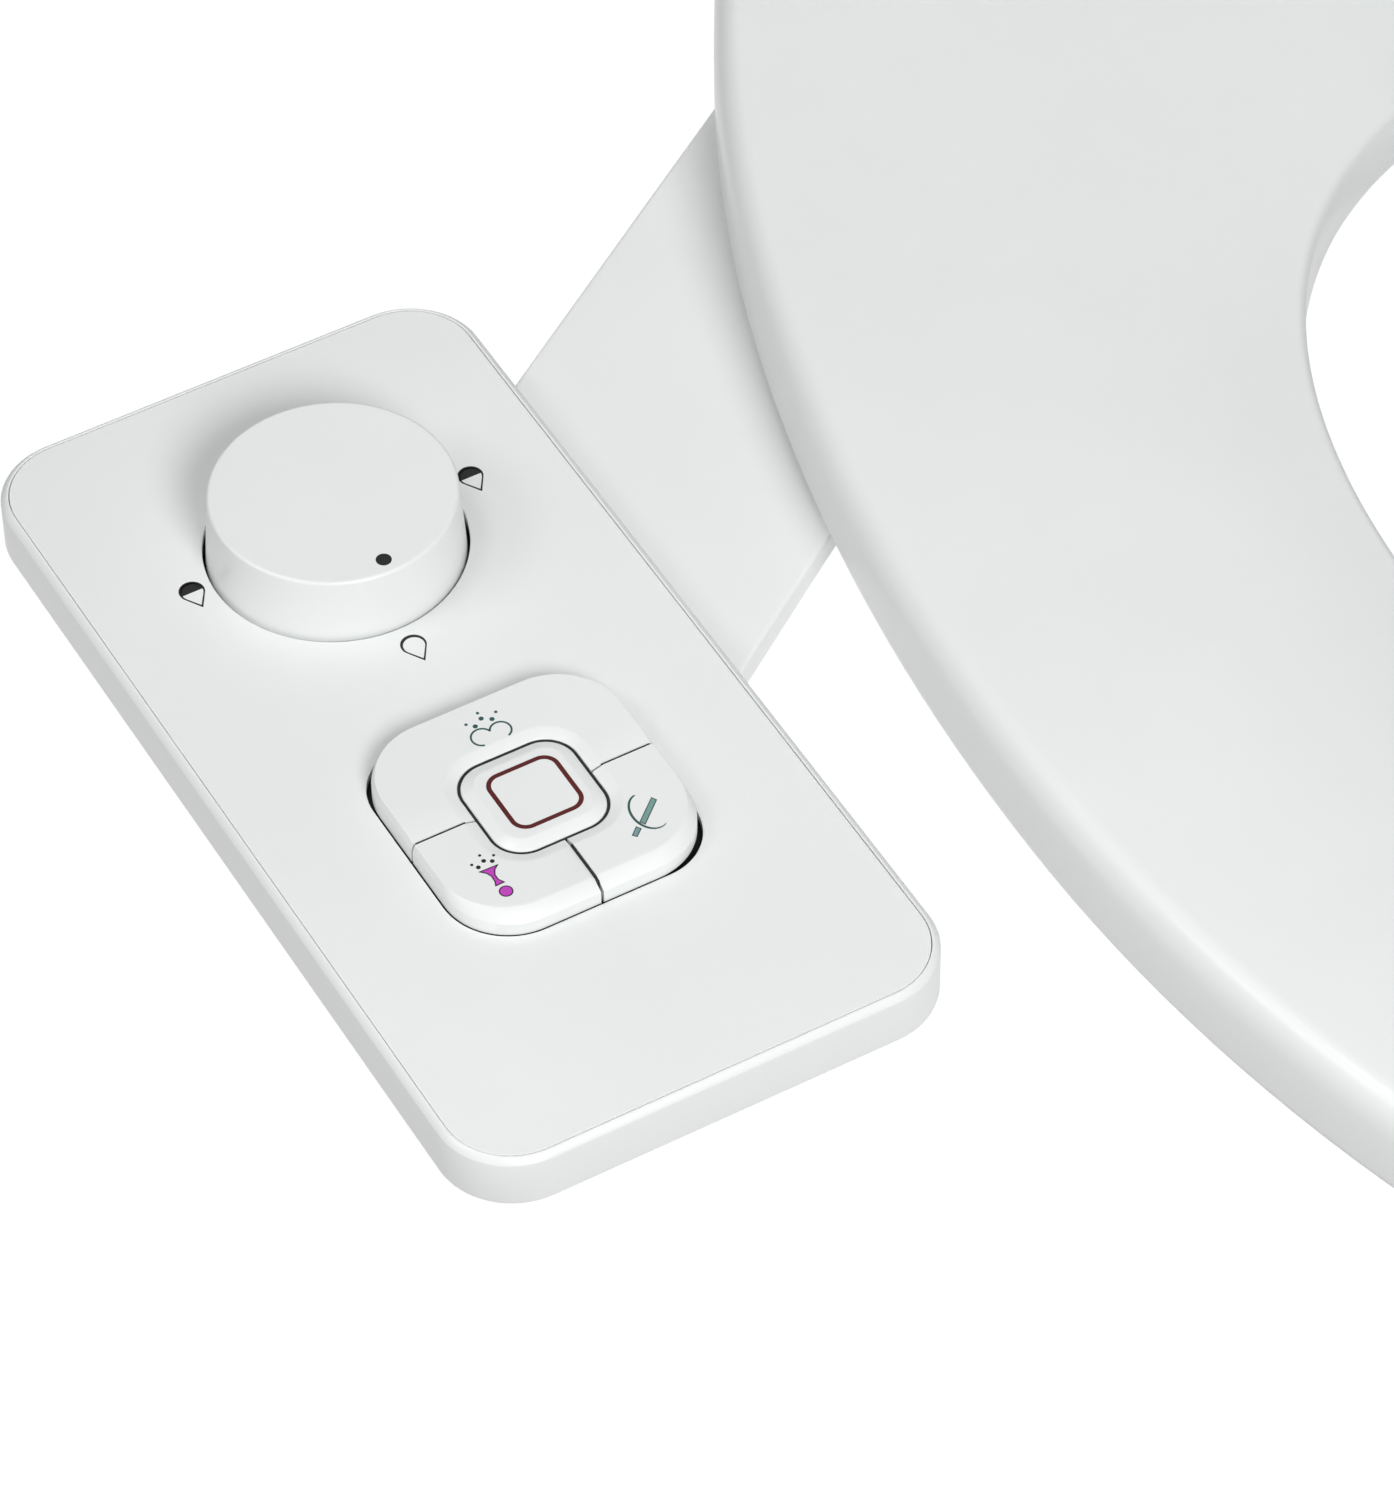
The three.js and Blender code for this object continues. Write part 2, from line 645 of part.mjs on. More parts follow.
function makeSeat() {
  const opening = polygon(holeOutline());
  const ring = softSlab(polygon(seatOutline(0)), seat.bottom, seat.top, seatEdge, 3)
    .subtract(slab(opening, 0, 50))
    .subtract(flare(opening, dish.edge, seat.top + 0.2, dish.spread))
    .add(lugs(bolt.x + 16.3, bolt.x + 30, 13, 24, 20));
  add("seat_ring", ring, whiteGloss);
  const bumperPoints = [
    [140, -150],
    [75, -370],
  ];
  for (const [x, y] of bumperPoints) {
    for (const side of [-1, 1]) {
      const name = `seat_bumper_${y < -200 ? "front" : "rear"}_${side < 0 ? "near" : "far"}`;
      add(name, post(side * x, y, 0, seat.bottom - gap, 8.5, 8), rubber);
    }
  }
}

// Drawn shut, then turned about the pin to the raised position it rests in.
function opened(body) {
  return body
    .translate([0, -hinge.y, -hinge.z])
    .rotate([-lidShape.open, 0, 0])
    .translate([0, hinge.y, hinge.z]);
}

function makeLid() {
  const sheet = softSlab(polygon(seatOutline(1)), lidShape.bottom, lidShape.top, 3, 2);
  add("lid", opened(sheet.add(lugs(bolt.x - 30, bolt.x - 16, lidShape.bottom, lidShape.top, hinge.z))), whiteGloss);
  for (const side of [-1, 1]) {
    const bumper = post(side * 75, -372, seat.top + gap, lidShape.bottom - gap, 6, 7);
    add(`lid_bumper_${side < 0 ? "near" : "far"}`, opened(bumper), rubber);
  }
}

makePanel();
makeCasing();
makeValves();
makeTubes();
makeBoard();
makeButtonFrame();
makeKnob();
makeButtons();
makeArm();
makeNozzles();
makeGuard();
makeHinges();
makeSeat();
makeLid();

export default part;
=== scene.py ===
"""Bidet seat with a side control panel: the looks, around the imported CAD. Metres, +Z up, front is -Y."""

import json
import math

import bmesh
import bpy
from mathutils import Matrix, Vector


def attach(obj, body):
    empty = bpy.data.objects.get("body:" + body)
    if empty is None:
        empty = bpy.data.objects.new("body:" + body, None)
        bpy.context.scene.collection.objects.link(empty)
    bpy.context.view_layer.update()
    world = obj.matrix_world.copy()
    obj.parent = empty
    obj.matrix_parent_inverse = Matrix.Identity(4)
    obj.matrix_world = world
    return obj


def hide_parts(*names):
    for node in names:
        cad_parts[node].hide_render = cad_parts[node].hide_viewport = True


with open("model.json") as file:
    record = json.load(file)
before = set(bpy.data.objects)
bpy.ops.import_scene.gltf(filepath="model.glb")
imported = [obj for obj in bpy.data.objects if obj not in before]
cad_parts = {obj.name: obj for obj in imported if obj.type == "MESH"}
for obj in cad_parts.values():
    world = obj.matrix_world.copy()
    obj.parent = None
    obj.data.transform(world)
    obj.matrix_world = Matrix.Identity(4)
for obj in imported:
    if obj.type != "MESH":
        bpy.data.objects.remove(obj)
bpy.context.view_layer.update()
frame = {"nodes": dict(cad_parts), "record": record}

MM = 0.001

# ---- driving dimensions, in millimetres ----
PANEL = {"x": -247.5, "y": -124.05, "width": 87.0, "length": 173.3, "radius": 13.0, "height": 10.5}
RIM = 1.35  # width of the edge round the inset cover
COVER_TOP = 10.4
COVER_BOTTOM = 8.8
DIAL = {"x": -247.0, "y": -81.7, "hole": 21.85, "radius": 21.4, "top_radius": 20.5, "top": 22.6, "skirt": 7.6}
KEYS = {"x": -247.0, "y": -148.5, "width": 44.1, "length": 44.9, "radius": 11.8, "top": 14.4, "bottom": 10.2}
STOP = {"half": 9.9, "radius": 5.3, "top": 14.5}
SLIT = 0.5  # gap between one button and the next
FRAME_TOP = 7.9  # top of the button frame under the buttons
HINGE = {"y": 47.0, "z": 20.0, "knuckle": 7.5, "bore": 3.3}
SEAT = {
    "half": 183.0,
    "wide_y": -195.0,
    "front": 235.0,
    "rear": 274.0,
    "back": 13.0,
    "bottom": 7.0,
    "top": 26.0,
}
HOLE = {"half": 107.0, "wide_y": -211.0, "front": 146.0, "rear": 126.0, "rear_power": 2.5}
LID = {"bottom": 28.0, "top": 33.0, "open": 105.0}
ARM_OUTLINE = [
    (-203.7, -60.8),
    (-203.7, -136.7),
    (-177.6, -118.6),
    (-94.0, -62.0),
    (88.0, -62.0),
    (93.0, -57.0),
    (93.0, 45.0),
    (88.0, 50.0),
    (-90.0, 50.0),
    (-95.0, 45.0),
    (-95.0, 20.0),
    (-118.0, -3.3),
]
ARM_TOP = 5.0
DISC_HOLE = 17.3
BOLT = {"x": 70.0, "y": 30.0}


# ---- materials ----
def new_material(name):
    """An empty node material with its Principled shader."""
    material = bpy.data.materials.new(name)
    material.use_nodes = True
    nodes = material.node_tree.nodes
    shader = nodes["Principled BSDF"]
    return material, nodes, material.node_tree.links, shader


def surface(name, low, high, roughness, metallic=0.0, scale=18.0, bump=0.02, grain=900.0, coat=0.0):
    """A slightly varied surface: colour drifts between low and high, and a fine grain roughens it."""
    material, nodes, links, shader = new_material(name)
    coords = nodes.new("ShaderNodeTexCoord")
    drift = nodes.new("ShaderNodeTexNoise")
    drift.inputs["Scale"].default_value = scale
    drift.inputs["Detail"].default_value = 3.0
    links.new(coords.outputs["Object"], drift.inputs["Vector"])
    ramp = nodes.new("ShaderNodeValToRGB")
    ramp.color_ramp.elements[0].position = 0.3
    ramp.color_ramp.elements[0].color = (*low, 1)
    ramp.color_ramp.elements[1].position = 0.7
    ramp.color_ramp.elements[1].color = (*high, 1)
    links.new(drift.outputs["Fac"], ramp.inputs["Fac"])
    links.new(ramp.outputs["Color"], shader.inputs["Base Color"])
    fine = nodes.new("ShaderNodeTexNoise")
    fine.inputs["Scale"].default_value = grain
    fine.inputs["Detail"].default_value = 2.0
    links.new(coords.outputs["Object"], fine.inputs["Vector"])
    spread = nodes.new("ShaderNodeMapRange")
    spread.inputs["To Min"].default_value = roughness - 0.03
    spread.inputs["To Max"].default_value = roughness + 0.03
    links.new(fine.outputs["Fac"], spread.inputs["Value"])
    links.new(spread.outputs["Result"], shader.inputs["Roughness"])
    relief = nodes.new("ShaderNodeBump")
    relief.inputs["Strength"].default_value = bump
    relief.inputs["Distance"].default_value = 0.0002
    links.new(fine.outputs["Fac"], relief.inputs["Height"])
    links.new(relief.outputs["Normal"], shader.inputs["Normal"])
    shader.inputs["Metallic"].default_value = metallic
    shader.inputs["Coat Weight"].default_value = coat
    shader.inputs["Coat Roughness"].default_value = 0.12
    return material


MATERIALS = {
    "white_gloss": surface("white_gloss", (0.80, 0.815, 0.808), (0.83, 0.845, 0.838), 0.38, coat=0.15),
    "white_satin": surface("white_satin", (0.74, 0.755, 0.75), (0.78, 0.795, 0.79), 0.5, bump=0.05),
    "grey_plastic": surface("grey_plastic", (0.30, 0.31, 0.32), (0.36, 0.37, 0.38), 0.55, bump=0.1),
    "black_plastic": surface("black_plastic", (0.012, 0.012, 0.013), (0.022, 0.022, 0.024), 0.5, bump=0.1),
    "circuit_board": surface("circuit_board", (0.010, 0.085, 0.040), (0.014, 0.115, 0.055), 0.4, bump=0.05),
    "steel": surface("steel", (0.52, 0.53, 0.54), (0.62, 0.63, 0.64), 0.28, metallic=1.0, grain=500.0),
    "brass": surface("brass", (0.58, 0.40, 0.14), (0.66, 0.47, 0.18), 0.3, metallic=1.0, grain=500.0),
    "rubber": surface("rubber", (0.62, 0.64, 0.63), (0.68, 0.70, 0.69), 0.8, bump=0.15),
    "tubing": surface("tubing", (0.66, 0.70, 0.73), (0.74, 0.78, 0.80), 0.35),
}
INK = {
    "black": surface("ink_black", (0.006, 0.006, 0.006), (0.012, 0.012, 0.012), 0.55),
    "red": surface("ink_red", (0.085, 0.002, 0.003), (0.110, 0.003, 0.004), 0.55),
    "teal": surface("ink_teal", (0.020, 0.075, 0.070), (0.028, 0.095, 0.088), 0.5),
    "pale_teal": surface("ink_pale_teal", (0.150, 0.300, 0.280), (0.180, 0.340, 0.315), 0.5),
    "magenta": surface("ink_magenta", (0.500, 0.045, 0.480), (0.560, 0.060, 0.530), 0.5),
}


# ---- mesh helpers ----
def finish_mesh(name, bm, material, body, angle=32.0):
    """Turns a bmesh drawn in millimetres into a named piece that rides on a CAD body."""
    bmesh.ops.remove_doubles(bm, verts=bm.verts, dist=1e-5)
    bmesh.ops.recalc_face_normals(bm, faces=bm.faces)
    bmesh.ops.scale(bm, vec=(MM, MM, MM), verts=bm.verts)
    mesh = bpy.data.meshes.new(name)
    bm.to_mesh(mesh)
    bm.free()
    mesh.shade_smooth()
    mesh.set_sharp_from_angle(angle=math.radians(angle))
    mesh.materials.append(material)
    piece = bpy.data.objects.new(name, mesh)
    bpy.context.scene.collection.objects.link(piece)
    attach(piece, body)
    return piece


def ring_of(bm, points):
    """One ring of vertices through the given 3-D points."""
    return [bm.verts.new(p) for p in points]


def bridge(bm, first, second):
    """Quads between two closed rings of the same length."""
    count = len(first)
    for i in range(count):
        j = (i + 1) % count
        bm.faces.new((first[i], first[j], second[j], second[i]))


def skin(bm, rings, closed=False):
    """Joins each ring to the next; closed joins the last to the first as well."""
    for first, second in zip(rings, rings[1:]):
        bridge(bm, first, second)
    if closed:
        bridge(bm, rings[-1], rings[0])


def fill_between(bm, loops, up):
    """One flat face set inside the outer loop and outside the others."""
    edges = []
    for loop in loops:
        for i in range(len(loop)):
            a, b = loop[i], loop[(i + 1) % len(loop)]
            edges.append(bm.edges.get((a, b)) or bm.edges.new((a, b)))
    bmesh.ops.triangle_fill(bm, use_beauty=True, use_dissolve=False, edges=edges, normal=(0, 0, up))


def rounded_rectangle(x, y, width, length, radius, steps=16):
    """Corner points, anticlockwise; radius is one number, or one for each corner from the rear right."""
    points = []
    corners = [(1, 1, 0), (-1, 1, 90), (-1, -1, 180), (1, -1, 270)]
    radii = radius if isinstance(radius, (list, tuple)) else [radius] * 4
    for (sx, sy, start), r in zip(corners, radii):
        cx = x + sx * (width / 2 - r)
        cy = y + sy * (length / 2 - r)
        for i in range(steps + 1):
            a = math.radians(start + 90.0 * i / steps)
            points.append((cx + r * math.cos(a), cy + r * math.sin(a)))
    return points


def circle(x, y, radius, count=128):
    """Points evenly spaced round a circle."""
    return [
        (x + radius * math.cos(2 * math.pi * i / count), y + radius * math.sin(2 * math.pi * i / count))
        for i in range(count)
    ]


def chamfer(width, drop, top, soft=0.12):
    """(inset, z) pairs of a flat sloping edge with two slightly softened corners."""
    size = math.hypot(width, drop)
    across, down = soft * width / size, soft * drop / size
    return [
        (0.0, top - drop - soft),
        (across, top - drop + down),
        (width - across, top - down),
        (width + soft, top),
        (width + soft + 0.25, top),
    ]


def lift(points, z):
    """The same outline at a height."""
    return [(x, y, z) for x, y in points]


def arc(radius, steps, inset, top):
    """(inset, z) pairs that round a top outer edge: from the side wall to the flat top."""
    pairs = []
    for i in range(steps + 1):
        a = math.pi / 2 * i / steps
        pairs.append((inset + radius * (1 - math.cos(a)), top - radius + radius * math.sin(a)))
    return pairs


# ---- panel ----
def panel_ring(inset, steps=16):
    """The panel's outline, moved inwards."""
    return rounded_rectangle(
        PANEL["x"],
        PANEL["y"],
        PANEL["width"] - 2 * inset,
        PANEL["length"] - 2 * inset,
        max(PANEL["radius"] - inset, 0.5),
        steps,
    )


def make_housing():
    """The outer tray: rounded bottom edge, straight side, raised rim, and an inside wall and floor."""
    wall, floor, ledge, opening = 2.0, 1.4, 8.0, 17.0
    bevel, soft = 1.0, 0.06
    top = PANEL["height"]
    profile = [(opening, 0.0), (0.9, 0.0), (0.45, 0.12), (0.12, 0.45), (0.0, 0.9)]
    profile += chamfer(bevel, bevel, top, 0.1)
    profile[-1] = (RIM - 0.2, top)
    profile += [(RIM - soft, top), (RIM, top - soft)]
    profile += [(RIM, ledge + 0.1), (wall, ledge), (wall, floor), (opening, floor)]
    bm = bmesh.new()
    rings = [ring_of(bm, lift(panel_ring(inset), z)) for inset, z in profile]
    skin(bm, rings, closed=True)
    piece = finish_mesh("panel_housing_smooth", bm, MATERIALS["white_gloss"], "frame")
    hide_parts("panel_housing")


def make_cover():
    """The inset top plate, with rounded edges at its rim and round both openings."""
    bm = bmesh.new()
    soft = 0.06  # rounding of the edges
    edge_gap = 0.14  # between the cover and the housing's rim
    tighter = 1.7  # two corners of the button opening are this much less round

    def key_ring(grow):
        wide, tight = KEYS["radius"] + grow, KEYS["radius"] + grow - tighter
        radii = [wide, tight, wide, tight]
        return rounded_rectangle(
            KEYS["x"], KEYS["y"], KEYS["width"] + 2 * grow, KEYS["length"] + 2 * grow, radii
        )

    def dial_ring(grow):
        return circle(DIAL["x"], DIAL["y"], DIAL["hole"] + grow)

    def edge_ring(grow):
        return panel_ring(RIM + edge_gap + grow)

    tops, bottoms = [], []
    for outline in (edge_ring, dial_ring, key_ring):
        profile = [(0.0, COVER_BOTTOM), (0.0, COVER_TOP - soft)]
        profile += [(soft * 0.3, COVER_TOP - soft * 0.3), (soft, COVER_TOP), (soft + 0.2, COVER_TOP)]
        rings = [ring_of(bm, lift(outline(grow), z)) for grow, z in profile]
        skin(bm, rings)
        bottoms.append(rings[0])
        tops.append(rings[-1])
    fill_between(bm, tops, 1)
    fill_between(bm, bottoms, -1)
    piece = finish_mesh("panel_cover_smooth", bm, MATERIALS["white_gloss"], "frame")
    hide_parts("panel_cover")


def make_knob():
    """A tall round cap, slightly tapered, hollow underneath, with a sunk dot near its edge."""
    top, skirt, fillet = DIAL["top"], DIAL["skirt"], 0.6
    radius, top_radius = DIAL["radius"], DIAL["top_radius"]
    bore, hub, bore_top, hub_foot, ceiling = 4.3, 7.0, 18.4, 8.6, 20.4
    wall_top = top - fillet
    taper = (radius - top_radius) / (wall_top - skirt)
    profile = [(0.0, bore_top), (bore, bore_top), (bore, hub_foot), (hub, hub_foot), (hub, ceiling)]
    profile += [(radius - 2.9, ceiling), (radius - 2.0, skirt), (radius - 0.2, skirt), (radius, skirt + 0.2)]
    profile.append((radius - taper * 6, skirt + 6.2))
    for inset, z in arc(fillet, 8, 0.0, top):
        profile.append((top_radius - inset, z))
    for level_radius in (top_radius - fillet - 0.3, 15.0, 10.0, 5.0, 0.0):
        profile.append((level_radius, top))
    bm = bmesh.new()
    count = 160
    rings = []
    for reach, z in profile:
        if reach == 0.0:
            rings.append([bm.verts.new((DIAL["x"], DIAL["y"], z))])
        else:
            rings.append(ring_of(bm, lift(circle(DIAL["x"], DIAL["y"], reach, count), z)))
    for first, second in zip(rings, rings[1:]):
        if len(first) == 1:
            for i in range(count):
                bm.faces.new((first[0], second[i], second[(i + 1) % count]))
        elif len(second) == 1:
            for i in range(count):
                bm.faces.new((first[i], first[(i + 1) % count], second[0]))
        else:
            bridge(bm, first, second)
    piece = finish_mesh("flow_knob_smooth", bm, MATERIALS["white_gloss"], "knob")
    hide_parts("flow_knob")
    dot_reach, dot_radius = 17.5, 1.3
    dot = circle(DIAL["x"], DIAL["y"] - dot_reach, dot_radius, 48)
    flat_mark("knob_dot", [dot], top, "black", "knob")


# ---- buttons ----
def make_buttons():
    """A rounded-square ring with soft outer and inner edges, cut into three, and the stop button inside."""
    edge = 0.28  # clearance round the whole group
    top, bottom = KEYS["top"], KEYS["bottom"]
    outer_wall, inner_wall, ceiling = 1.6, 1.4, top - 1.9  # the shell under the top
    drop, inner_soft, well_drop = 1.5, 2.0, 0.7
    side_slope, rear_slope, front_slope = 0.45, 0.4, 2.3  # how far the slope reaches in on each side

    def outer(share, inset=0.0):
        """The outline at the foot of the sloping edge (share 0), at the flat top (share 1), or between."""
        side, rear, front = share * side_slope, share * rear_slope, share * front_slope
        return rounded_rectangle(
            KEYS["x"],
            KEYS["y"] + (front - rear) / 2,
            KEYS["width"] - 2 * (edge + inset + side),
            KEYS["length"] - 2 * (edge + inset) - rear - front,
            KEYS["radius"] - edge - inset,
            20,
        )

    def inner(grow):
        half = STOP["half"] + SLIT + grow
        return rounded_rectangle(KEYS["x"], KEYS["y"], 2 * half, 2 * half, STOP["radius"] + SLIT + grow, 20)

    def blend_rings(share):
        """A ring part of the way from the outer soft edge to the inner one."""
        return [
            (a[0] + (b[0] - a[0]) * share, a[1] + (b[1] - a[1]) * share)
            for a, b in zip(outer(1.15), inner(inner_soft + 0.4))
        ]

    profile = [(outer(0, outer_wall), bottom), (outer(0, 0.15), bottom), (outer(0), bottom + 0.15)]
    profile += [(outer(0), top - drop - 0.12), (outer(0.06), top - drop + 0.08)]
    profile += [(outer(0.94), top - 0.08), (outer(1.03), top), (outer(1.15), top)]
    for share in (0.25, 0.5, 0.75):
        profile.append((blend_rings(share), top))
    profile += [(inner(grow), z) for grow, z in reversed(chamfer(inner_soft, well_drop, top))]
    profile += [(inner(0.0), bottom), (inner(inner_wall), bottom), (inner(inner_wall), ceiling)]
    profile.append((outer(0, outer_wall), ceiling))
    cuts = {
        "button_rear": [((0, 1, 0), SLIT / 2)],
        "button_front": [((0, -1, 0), SLIT / 2), ((-1, 0, 0), SLIT / 2)],
        "button_clean": [((0, -1, 0), SLIT / 2), ((1, 0, 0), SLIT / 2)],
    }
    slopes = {
        "button_rear": [((0, 1, 0), SLIT / 2, 2.2, 0.35)],
        "button_front": [((-1, 0, 0), SLIT / 2, 0.8, 0.3)],
    }
    bodies = {
        "button_rear": "rear_wash_button",
        "button_front": "front_wash_button",
        "button_clean": "nozzle_clean_button",
    }
    centre = Vector((KEYS["x"], KEYS["y"], 0))
    for name, planes in cuts.items():
        bm = bmesh.new()
        rings = [ring_of(bm, lift(points, z)) for points, z in profile]
        skin(bm, rings, closed=True)
        bmesh.ops.recalc_face_normals(bm, faces=bm.faces)
        for normal, offset in planes:
            n = Vector(normal)
            cut = bmesh.ops.bisect_plane(
                bm,
                geom=bm.verts[:] + bm.edges[:] + bm.faces[:],
                plane_co=centre + n * offset,
                plane_no=-n,
                clear_outer=True,
            )
            edges = [e for e in cut["geom_cut"] if isinstance(e, bmesh.types.BMEdge)]
            bmesh.ops.triangle_fill(bm, use_beauty=True, edges=edges, normal=-n)
        for normal, offset, width, drop in slopes.get(name, []):
            slope_edge(bm, centre, Vector(normal), offset, width, drop, top)
        piece = finish_mesh(name + "_smooth", bm, MATERIALS["white_gloss"], bodies[name])
        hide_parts(name)
    make_stop_button()
    # the dark strips in the gaps between the buttons are painted shade
    make_slit_shade_strips()


def make_slit_shade_strips():
    """Painted shade: thin dark strips on the frame, standing in the gaps between the buttons so the gaps read
    dark.
    """
    cx, cy = KEYS["x"], KEYS["y"]
    thick = 0.34
    near, reach = STOP["half"] + SLIT + 1.8, KEYS["width"] / 2 - 1.1  # the ends of each strip
    low, high, ring_top = FRAME_TOP, KEYS["top"] - 0.14, KEYS["top"] - 0.8
    walls = [
        ((-reach, -near), (-thick / 2, thick / 2)),
        ((near, reach), (-thick / 2, thick / 2)),
        ((-thick / 2, thick / 2), (-reach, -near)),
    ]
    bm = bmesh.new()
    for (x0, x1), (y0, y1) in walls:
        corners = [(cx + x0, cy + y0), (cx + x1, cy + y0), (cx + x1, cy + y1), (cx + x0, cy + y1)]
        bottom = ring_of(bm, lift(corners, low))
        top = ring_of(bm, lift(corners, high))
        bridge(bm, bottom, top)
        bm.faces.new(bottom)
        bm.faces.new(top)
    sides = []
    for grow in (SLIT / 2 + thick / 2, SLIT / 2 - thick / 2):
        half = STOP["half"] + grow
        sides.append(rounded_rectangle(cx, cy, 2 * half, 2 * half, STOP["radius"] + grow, 20))
    outer, inner = sides
    corners = [lift(outer, low), lift(outer, ring_top), lift(inner, ring_top), lift(inner, low)]
    skin(bm, [ring_of(bm, points) for points in corners], closed=True)
    # black sheets where the slits hold only shade: painted shade
    finish_mesh("painted_slit_shade", bm, MATERIALS["black_plastic"], "frame")


def slope_edge(bm, centre, normal, offset, width, drop, top):
    """Slopes the top down towards a cut: the last width of it falls by drop."""
    bmesh.ops.bisect_plane(
        bm,
        geom=bm.verts[:] + bm.edges[:] + bm.faces[:],
        plane_co=centre + normal * (offset + width),
        plane_no=normal,
    )
    for vert in bm.verts:
        along = (vert.co - centre).dot(normal) - offset
        if along < 0.01 and vert.co.z > top - drop:
            vert.co.z = top - drop


def make_stop_button():
    """The rounded square in the middle, open underneath."""
    wall, ceiling = 1.5, STOP["top"] - 2.2

    def ring(inset):
        half = STOP["half"] - inset
        return rounded_rectangle(KEYS["x"], KEYS["y"], 2 * half, 2 * half, max(STOP["radius"] - inset, 0.6), 16)

    profile = [(wall, KEYS["bottom"]), (0.15, KEYS["bottom"]), (0.0, KEYS["bottom"] + 0.15)]
    profile += chamfer(2.0, 0.9, STOP["top"])
    bm = bmesh.new()
    rings = [ring_of(bm, lift(ring(inset), z)) for inset, z in profile]
    inside = [ring_of(bm, lift(ring(wall), ceiling))]
    skin(bm, inside + rings)
    bm.faces.new(rings[-1])
    bm.faces.new(inside[0])
    piece = finish_mesh("button_stop_smooth", bm, MATERIALS["white_gloss"], "stop_button")
    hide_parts("button_stop")


# ---- printed marks ----
MARK_HEIGHT = 0.03  # how far a mark stands up from its surface
MARK_ROOT = 0.02  # how far it reaches into it


def flat_mark(name, loops, z, ink, body):
    """A printed mark: one or more thin plates, each loop a closed outline or an (outer, inner) pair."""
    bm = bmesh.new()
    for loop in loops:
        outlines = loop if isinstance(loop[0][0], tuple) else [loop]
        tops = [ring_of(bm, lift(points, z + MARK_HEIGHT)) for points in outlines]
        lows = [ring_of(bm, lift(points, z - MARK_ROOT)) for points in outlines]
        for top, low in zip(tops, lows):
            bridge(bm, top, low)
        if len(outlines) == 1:
            bm.faces.new(tops[0])
            bm.faces.new(lows[0])
        else:
            bridge(bm, tops[0], tops[1])
            bridge(bm, lows[0], lows[1])
    return finish_mesh(name, bm, INK[ink], body)


def band(points, width):
    """A closed outline of a line of the given width drawn through the points."""
    left, right = [], []
    for i, (x, y) in enumerate(points):
        ax, ay = points[max(i - 1, 0)]
        bx, by = points[min(i + 1, len(points) - 1)]
        size = math.hypot(bx - ax, by - ay)
        nx, ny = -(by - ay) / size * width / 2, (bx - ax) / size * width / 2
        left.append((x + nx, y + ny))
        right.append((x - nx, y - ny))
    return left + right[::-1]


def sweep(cx, cy, rx, ry, start, end, count=24):
    """Points along part of an ellipse; angles in degrees."""
    points = []
    for i in range(count + 1):
        a = math.radians(start + (end - start) * i / count)
        points.append((cx + rx * math.cos(a), cy + ry * math.sin(a)))
    return points


def drop_outline(cx, cy, width, length, count=40):
    """A drop with its tip towards the front, as a closed outline."""
    radius = width / 2
    bulb_y = cy + length / 2 - radius
    tip = (cx, cy - length / 2)
    lean = math.degrees(math.acos(radius / (bulb_y - tip[1])))
    points = sweep(cx, bulb_y, radius, radius, -90 + lean, 270 - lean, count)
    points.append(tip)
    return points


def make_drops():
    """Three drops round the knob: half-filled at the sides, empty at the front."""
    width, length, line, reach = 4.3, 6.2, 0.36, 26.2
    places = {
        "drop_left": (DIAL["x"] - reach + 1.0, DIAL["y"] + 1.3, True),
        "drop_front": (DIAL["x"] + 0.3, DIAL["y"] - 27.0, False),
        "drop_right": (DIAL["x"] + reach, DIAL["y"] + 1.5, True),
    }
    for name, (x, y, filled) in places.items():
        outside = drop_outline(x, y, width, length)
        inside = drop_outline(x, y, width - 2 * line, length - 3.2 * line)
        loops = [(outside, inside)]
        if filled:
            radius = width / 2 - line * 0.8
            bulb_y = y + length / 2 - width / 2
            loops.append(sweep(x, bulb_y, radius, radius, -8, 188, 28))
        flat_mark(name, loops, COVER_TOP, "black", "frame")


def dots(places, radius):
    """Small round spots of one size."""
    return [circle(x, y, radius, 16) for x, y in places]


def outlined(name, outline, edge, ink, body, z):
    """A coloured mark with a dark line round it."""
    inside = inset_polygon(outline, edge)
    flat_mark(name + "_edge", [(outline, inside)], z, "black", body)
    flat_mark(name, [inside], z, ink, body)


